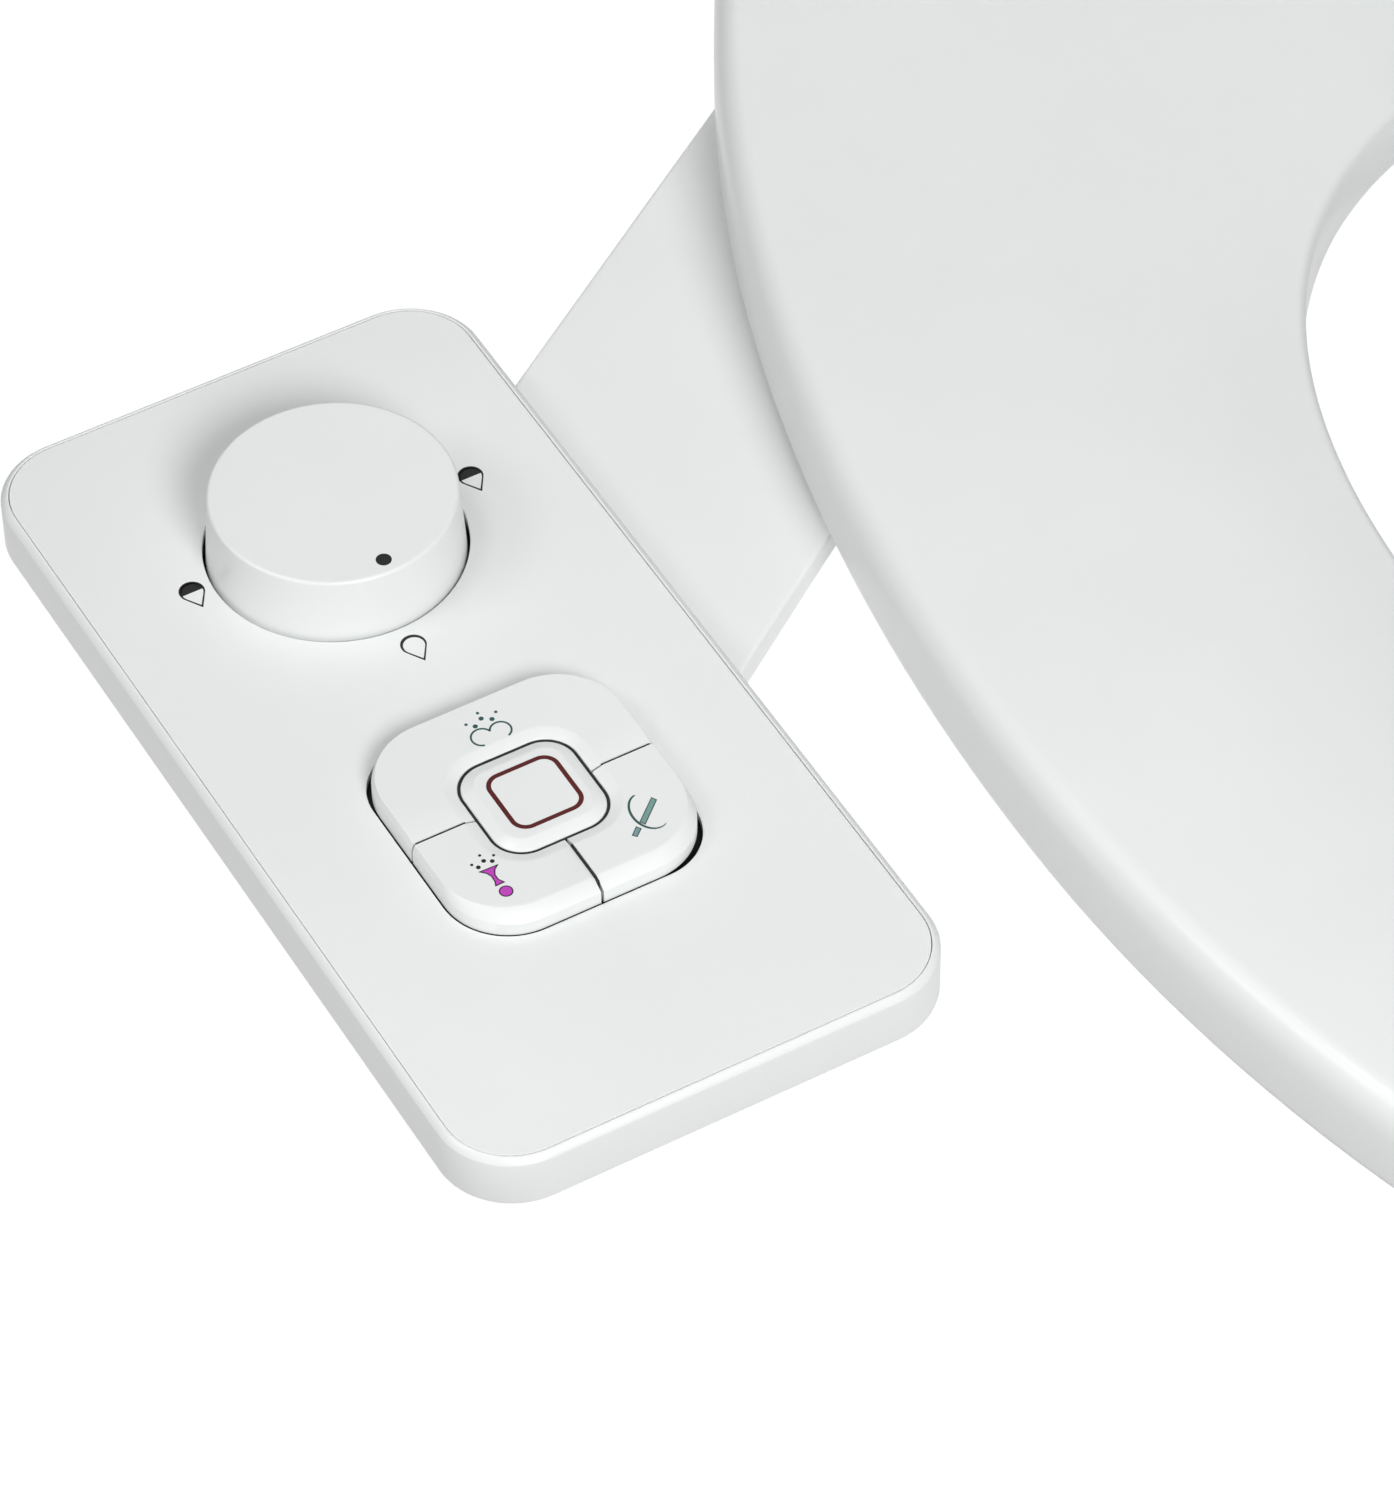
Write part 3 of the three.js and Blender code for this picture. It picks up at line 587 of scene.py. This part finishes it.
def make_button_marks():
    """Line drawings on the buttons, placed in millimetres from the middle of the group."""
    cx, cy = KEYS["x"], KEYS["y"]
    z = KEYS["top"]

    def shifted(points):
        return [(cx + a, cy + b) for a, b in points]

    half_ring, line, radius = 6.0, 0.78, 2.4
    ring_x, ring_y = cx + 0.25, cy
    rings = [
        rounded_rectangle(ring_x, ring_y, 2 * (half_ring + s), 2 * (half_ring + s), radius + s)
        for s in (line / 2, -line / 2)
    ]
    flat_mark("mark_stop", [tuple(rings)], STOP["top"], "red", "stop_button")

    lobes = [
        band(sweep(cx - 1.35, cy + 14.4, 1.79, 1.79, 17, 256), 0.32),
        band(sweep(cx + 1.95, cy + 14.3, 1.73, 1.73, 160, -72), 0.32),
    ]
    flat_mark("mark_rear_wash", lobes, z, "teal", "rear_wash_button")
    spray = dots(shifted([(-2.3, 18.0), (0.45, 19.25), (3.1, 18.05)]), 0.27)
    spray += dots(shifted([(-1.2, 16.95), (0.4, 17.95), (1.85, 17.0)]), 0.42)
    flat_mark("mark_rear_spray", spray, z, "teal", "rear_wash_button")

    outlined("mark_head", circle(cx - 13.5, cy - 15.7, 1.15, 28), 0.2, "magenta", "front_wash_button", z)
    left_side = [(-14.5, -14.05), (-14.15, -13.1), (-14.1, -11.9), (-14.45, -11.05), (-15.4, -10.1)]
    right_side = [(-11.8, -10.2), (-12.8, -10.95), (-13.3, -11.9), (-13.3, -12.9), (-12.7, -14.0)]
    figure = shifted(left_side + right_side)[::-1]
    outlined("mark_front_wash", figure, 0.2, "magenta", "front_wash_button", z)
    spray = dots(shifted([(-15.55, -8.3), (-13.55, -7.2), (-11.65, -8.25)]), 0.25)
    spray += dots(shifted([(-14.9, -9.25), (-13.55, -8.5), (-12.4, -9.2)]), 0.38)
    flat_mark("mark_front_spray", spray, z, "black", "front_wash_button")

    bar = shifted([(15.55, -10.05), (11.4, -13.65), (11.95, -14.6), (16.1, -10.95)])
    foot = shifted([(10.5, -14.15), (9.0, -15.5), (9.6, -16.2), (11.05, -15.0)])
    outlined("mark_nozzle_bar", bar, 0.14, "pale_teal", "nozzle_clean_button", z)
    outlined("mark_nozzle_foot", foot, 0.14, "pale_teal", "nozzle_clean_button", z)
    crescent = sweep(cx + 13.75, cy - 12.3, 2.95, 4.05, 98, 292, 30)
    crescent += sweep(cx + 13.95, cy - 12.3, 2.75, 3.85, 292, 98, 30)
    flat_mark("mark_crescent", [crescent], z + 0.02, "teal", "nozzle_clean_button")


# ---- arm ----
def inset_polygon(points, distance):
    """The outline moved inwards, corner by corner."""
    moved = []
    count = len(points)
    for i in range(count):
        (x0, y0), (x1, y1), (x2, y2) = points[i - 1], points[i], points[(i + 1) % count]
        d1, d2 = math.hypot(x1 - x0, y1 - y0), math.hypot(x2 - x1, y2 - y1)
        ax, ay = (x1 - x0) / d1, (y1 - y0) / d1
        bx, by = (x2 - x1) / d2, (y2 - y1) / d2
        turn = 1 + ax * bx + ay * by
        moved.append((x1 - distance * (ay + by) / turn, y1 + distance * (ax + bx) / turn))
    return moved


def make_arm():
    """The flat cover of the slanted arm and the plate, open underneath, with a hole for each bolt's disc."""
    bm = bmesh.new()
    wall, foot, ceiling, rounding = 1.5, 0.2, ARM_TOP - 1.0, 0.8
    profile = [(wall, foot), (0.3, foot), (0.0, foot + 0.3)]
    profile += arc(rounding, 6, 0.0, ARM_TOP) + [(rounding + 0.4, ARM_TOP)]
    rings = [ring_of(bm, lift(inset_polygon(ARM_OUTLINE, inset), z)) for inset, z in profile]
    skin(bm, rings)
    holes_top, holes_bottom = [], []
    for side in (-1, 1):
        hole = circle(side * BOLT["x"], BOLT["y"], DISC_HOLE, 64)
        wider_hole = circle(side * BOLT["x"], BOLT["y"], DISC_HOLE + 0.2, 64)
        low = ring_of(bm, lift(hole, ceiling))
        mid = ring_of(bm, lift(hole, ARM_TOP - 0.2))
        high = ring_of(bm, lift(wider_hole, ARM_TOP))
        skin(bm, [low, mid, high])
        holes_top.append(high)
        holes_bottom.append(low)
    inside_low = rings[0]
    inside_high = ring_of(bm, lift(inset_polygon(ARM_OUTLINE, wall), ceiling))
    skin(bm, [inside_low, inside_high])
    fill_between(bm, [rings[-1]] + holes_top, 1)
    fill_between(bm, [inside_high] + holes_bottom, -1)
    piece = finish_mesh("arm_cover_smooth", bm, MATERIALS["white_gloss"], "frame")
    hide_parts("arm_cover")


# ---- seat and lid ----
def seat_line(shrink=0.0, steps=220):
    """Evenly spaced points round the seat's outer edge, with the outward direction at each."""
    half, front, rear = SEAT["half"] - shrink, SEAT["front"] - shrink, SEAT["rear"] - shrink
    back, soft = SEAT["back"] - shrink, 22.0  # the straight back edge, and the size of its round corners
    side_steps, corner_steps, front_steps = 60, 20, 160
    rough = []
    end = math.asin((back - soft - SEAT["wide_y"]) / rear)
    for i in range(side_steps):
        a = end * i / (side_steps - 1)
        rough.append((half * math.cos(a), SEAT["wide_y"] + rear * math.sin(a)))
    start = Vector((rough[-1][0], rough[-1][1]))
    corner = Vector((start.x - soft * 0.52, back))
    finish = Vector((corner.x - soft * 0.5 - 10.0, back))
    for i in range(1, corner_steps + 1):
        t = i / corner_steps
        p = start * (1 - t) ** 2 + corner * 2 * t * (1 - t) + finish * t**2
        rough.append((p.x, p.y))
    rough += [(-x, y) for x, y in reversed(rough)]
    for i in range(1, front_steps):
        a = math.pi + math.pi * i / front_steps
        rough.append((half * math.cos(a), SEAT["wide_y"] + front * math.sin(a)))
    return even_points(rough, steps)


def even_points(rough, steps):
    """Evenly spaced points along a closed line, each with its outward direction."""
    lengths = [0.0]
    count = len(rough)
    for i in range(count):
        (x0, y0), (x1, y1) = rough[i], rough[(i + 1) % count]
        lengths.append(lengths[-1] + math.hypot(x1 - x0, y1 - y0))
    points = []
    k = 0
    for s in range(steps):
        target = lengths[-1] * s / steps
        while lengths[k + 1] < target:
            k += 1
        t = (target - lengths[k]) / (lengths[k + 1] - lengths[k])
        (x0, y0), (x1, y1) = rough[k], rough[(k + 1) % count]
        points.append(Vector((x0 + (x1 - x0) * t, y0 + (y1 - y0) * t)))
    normals = []
    for i in range(steps):
        along = (points[(i + 1) % steps] - points[i - 1]).normalized()
        normals.append(Vector((along.y, -along.x)))
    return list(zip(points, normals))


def hole_point(towards):
    """The point of the seat's opening on the way to a given point, and the outward direction there."""
    dx, dy = towards.x, towards.y - HOLE["wide_y"]
    reach = HOLE["rear"] if dy > 0 else HOLE["front"]
    power = HOLE["rear_power"] if dy > 0 else 2.0
    scale = (abs(dx / HOLE["half"]) ** power + abs(dy / reach) ** power) ** (-1 / power)
    x, y = dx * scale, dy * scale
    steep_x = math.copysign(abs(x / HOLE["half"]) ** (power - 1), x) / HOLE["half"]
    steep_y = math.copysign(abs(y / reach) ** (power - 1), y) / reach
    return Vector((x, HOLE["wide_y"] + y)), Vector((steep_x, steep_y)).normalized()


def make_seat():
    """The ring: a round outer edge, a top that is dished towards the opening, and a small round lip."""
    bm = bmesh.new()
    line = seat_line()
    holes = [hole_point(p) for p, _ in line]
    top, bottom = SEAT["top"], SEAT["bottom"]
    edge_width, edge_drop = 5.0, 6.5  # rounding of the outer edge
    lip, hole_top = 1.8, 21.6  # rounding of the edge of the hole, and its height
    rings = []

    def from_outer(inset, z):
        rings.append(ring_of(bm, [((p - n * inset).x, (p - n * inset).y, z) for p, n in line]))

    def from_inner(grow, z):
        rings.append(ring_of(bm, [((q + m * grow).x, (q + m * grow).y, z) for q, m in holes]))

    def between(share, z):
        points = []
        for (p, n), (q, m) in zip(line, holes):
            a, b = p - n * edge_width, q + m * lip
            c = a.lerp(b, share)
            points.append((c.x, c.y, z))
        rings.append(ring_of(bm, points))

    for inset, rise in ((3.0, 0.0), (1.5, 0.3), (0.4, 1.2), (0.0, 2.8)):
        from_outer(inset, bottom + rise)
    edge_steps, lip_steps = 8, 6
    for i in range(edge_steps + 1):
        a = math.pi / 2 * i / edge_steps
        from_outer(edge_width * (1 - math.cos(a)), top - 1.0 - edge_drop * (1 - math.sin(a)))
    for share, drop in ((0.1, 0.6), (0.25, 0.2), (0.42, 0.05), (0.6, 0.6), (0.78, 1.8), (0.92, 3.3)):
        between(share, top - drop)
    for i in range(lip_steps + 1):
        a = math.pi / 2 * (1 - i / lip_steps)
        from_inner(lip * (1 - math.cos(a)), hole_top - lip * (1 - math.sin(a)))
    for grow, rise in ((0.0, 2.5), (0.5, 1.0), (2.0, 0.0)):
        from_inner(grow, bottom + rise)
    skin(bm, rings, closed=True)
    piece = finish_mesh("seat_ring_smooth", bm, MATERIALS["white_gloss"], "seat", angle=60)
    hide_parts("seat_ring")
    make_lugs("seat_lug", "seat", 86.3, 100.0, 13.0, 24.0, 0.0)


def swing(bm, degrees):
    """Turns a shape backwards about the hinge pins."""
    angle = -math.radians(degrees)
    y, z = HINGE["y"], HINGE["z"]
    for v in bm.verts:
        dy, dz = v.co.y - y, v.co.z - z
        v.co.y = y + dy * math.cos(angle) - dz * math.sin(angle)
        v.co.z = z + dy * math.sin(angle) + dz * math.cos(angle)


def make_lugs(name, body, x0, x1, low, high, turn):
    """A pair of hinge straps with rounded ends; turn swings them about the pin, in degrees."""
    y, z, r = HINGE["y"], HINGE["z"], HINGE["knuckle"]
    rise = max(high - z, r)  # the knuckle reaches up to a strap that lies above it
    back = SEAT["back"] - 6.0
    for side, label in ((-1, "near"), (1, "far")):
        outline = [(back, low), (back, high)]
        start = 90.0 if high >= z + r else math.degrees(math.asin((high - z) / r))
        start = 180.0 - start
        end = -180.0 + math.degrees(math.asin((z - max(low, z - r)) / r)) if low < z else -180.0
        arc_steps = 32
        for i in range(arc_steps + 1):
            a = math.radians(start + (end - start) * i / arc_steps)
            outline.append((y + r * math.cos(a), z + (rise if a > 0 else r) * math.sin(a)))
        if low > z:
            outline.append((y - r, low))
        bm = bmesh.new()
        rows = []
        soft, part = 1.2, 0.35
        layers = [(x0, soft), (x0 + part, part), (x0 + soft, 0.0)]
        layers += [(x1 - soft, 0.0), (x1 - part, part), (x1, soft)]
        middle = Vector((sum(p[0] for p in outline), sum(p[1] for p in outline))) / len(outline)
        for distance, shrink in layers:
            x = side * distance
            row = []
            for py, pz in outline:
                v = Vector((py, pz)) - middle
                v = v * (1 - shrink / max(v.length, 1.0))
                row.append((x, middle.x + v.x, middle.y + v.y))
            rows.append(ring_of(bm, row))
        skin(bm, rows)
        bm.faces.new(rows[0])
        bm.faces.new(rows[-1])
        swing(bm, turn)
        finish_mesh(f"{name}_{label}", bm, MATERIALS["white_gloss"], body, angle=40)


def make_lid():
    """The lid: a round-edged plate with a slightly crowned top, drawn shut and swung open."""
    bm = bmesh.new()
    line = seat_line(1.0)
    rings = []
    middle = Vector((0.0, SEAT["wide_y"]))
    low, high = LID["bottom"], LID["top"]
    crown, edge_width, edge_drop = 0.6, 3.0, 2.2

    def at(inset, z):
        rings.append(ring_of(bm, [((p - n * inset).x, (p - n * inset).y, z) for p, n in line]))

    for inset, rise in ((3.0, 0.0), (0.8, 0.15), (0.1, 0.9), (0.0, 1.6)):
        at(inset, low + rise)
    edge_steps = 6
    for i in range(edge_steps + 1):
        a = math.pi / 2 * i / edge_steps
        at(edge_width * (1 - math.cos(a)), high - crown - edge_drop * (1 - math.sin(a)))
    inner = [p - n * edge_width for p, n in line]
    for share, rise in ((0.12, 0.15), (0.3, 0.35), (0.55, 0.5), (0.8, 0.58), (0.93, crown)):
        rings.append(ring_of(bm, [(*(p.lerp(middle, share)), high - crown + rise) for p in inner]))
    skin(bm, rings)
    bm.faces.new(rings[0])
    bm.faces.new(rings[-1])
    swing(bm, LID["open"])
    piece = finish_mesh("lid_smooth", bm, MATERIALS["white_gloss"], "lid", angle=60)
    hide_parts("lid")
    make_lugs("lid_lug", "lid", 40.0, 54.0, LID["bottom"] + 0.3, LID["top"] - 0.7, LID["open"])


make_housing()
make_cover()
make_knob()
make_buttons()
make_drops()
make_button_marks()
make_arm()
make_seat()
make_lid()

# ---- the CAD pieces that stay as they are get this scene's materials ----
for subpart in frame["record"]["subparts"]:
    mesh = frame["nodes"][subpart["node"]].data
    mesh.materials.clear()
    mesh.materials.append(MATERIALS[subpart["material_slot"]])


# ---- floor, lights and camera ----
def make_floor():
    """A glowing floor: white under the object, fading to grey further out."""
    size, level = 6.0, -0.40
    white_radius, grey_radius = 0.42, 1.3
    middle = Vector((-0.07, 0.20, 0.0))
    mesh = bpy.data.meshes.new("floor")
    corners = [(-size, -size, level), (size, -size, level), (size, size, level), (-size, size, level)]
    mesh.from_pydata(corners, [], [(0, 1, 2, 3)])
    material, nodes, links, shader = new_material("glowing_floor")
    shader.inputs["Base Color"].default_value = (0.0, 0.0, 0.0, 1)
    shader.inputs["Specular IOR Level"].default_value = 0.0
    shader.inputs["Emission Color"].default_value = (1.0, 1.0, 1.0, 1)
    coords = nodes.new("ShaderNodeTexCoord")
    flatten = nodes.new("ShaderNodeVectorMath")
    flatten.operation = "MULTIPLY"
    flatten.inputs[1].default_value = (1.0, 1.0, 0.0)
    links.new(coords.outputs["Object"], flatten.inputs[0])
    away = nodes.new("ShaderNodeVectorMath")
    away.operation = "DISTANCE"
    away.inputs[1].default_value = middle
    links.new(flatten.outputs["Vector"], away.inputs[0])
    fade = nodes.new("ShaderNodeMapRange")
    fade.interpolation_type = "SMOOTHSTEP"
    fade.inputs["From Min"].default_value = white_radius
    fade.inputs["From Max"].default_value = grey_radius
    fade.inputs["To Min"].default_value = 1.02
    fade.inputs["To Max"].default_value = 0.30
    links.new(away.outputs["Value"], fade.inputs["Value"])
    links.new(fade.outputs["Result"], shader.inputs["Emission Strength"])
    mesh.materials.append(material)
    floor = bpy.data.objects.new("floor", mesh)
    bpy.context.scene.collection.objects.link(floor)


def area_light(name, place, target, size, power):
    """A round soft light that points at the target."""
    lamp = bpy.data.lights.new(name, "AREA")
    lamp.shape = "DISK"
    lamp.size = size
    lamp.energy = power
    light = bpy.data.objects.new(name, lamp)
    light.location = place
    light.rotation_mode = "QUATERNION"
    light.rotation_quaternion = (Vector(target) - Vector(place)).to_track_quat("-Z", "Y")
    bpy.context.scene.collection.objects.link(light)


def make_lights():
    """One strong soft light in front, two weaker ones from the left, and an even surrounding."""
    target = (-0.20, -0.15, 0.0)
    area_light("front", (-0.36, -1.20, 0.85), target, 0.55, 13.3)
    area_light("high_left", (-0.75, 0.05, 1.40), target, 0.5, 3.8)
    area_light("left", (-1.35, 0.20, 1.10), target, 0.6, 4.0)
    world = bpy.data.worlds.new("studio")
    world.use_nodes = True
    background = world.node_tree.nodes["Background"]
    background.inputs["Color"].default_value = (0.985, 1.0, 0.992, 1)
    background.inputs["Strength"].default_value = 0.27
    bpy.context.scene.world = world


def make_camera():
    """A long lens that looks down on the panel from the front left."""
    azimuth, elevation, roll = math.radians(-29.16), math.radians(48.14), math.radians(-0.711)
    target = Vector((PANEL["x"] * MM, (PANEL["y"] - 4.0) * MM, PANEL["height"] * MM))
    distance, aside, above = 1.1715, -0.0362, 0.00364
    back = Vector(
        (
            math.sin(azimuth) * math.cos(elevation),
            -math.cos(azimuth) * math.cos(elevation),
            math.sin(elevation),
        )
    )
    right = Vector((math.cos(azimuth), math.sin(azimuth), 0.0))
    up = back.cross(right)
    turned_right = right * math.cos(roll) + up * math.sin(roll)
    turned_up = up * math.cos(roll) - right * math.sin(roll)
    camera_data = bpy.data.cameras.new("camera")
    camera_data.lens = 176.81
    camera_data.sensor_width = 36.0
    camera_data.clip_start = 0.05
    camera_data.clip_end = 50.0
    camera = bpy.data.objects.new("camera", camera_data)
    camera.location = target + back * distance - turned_right * aside - turned_up * above
    camera.rotation_mode = "QUATERNION"
    camera.rotation_quaternion = Matrix((turned_right, turned_up, back)).transposed().to_quaternion()
    bpy.context.scene.collection.objects.link(camera)
    bpy.context.scene.camera = camera


make_floor()
make_lights()
make_camera()
bpy.context.scene.view_settings.view_transform = "Standard"
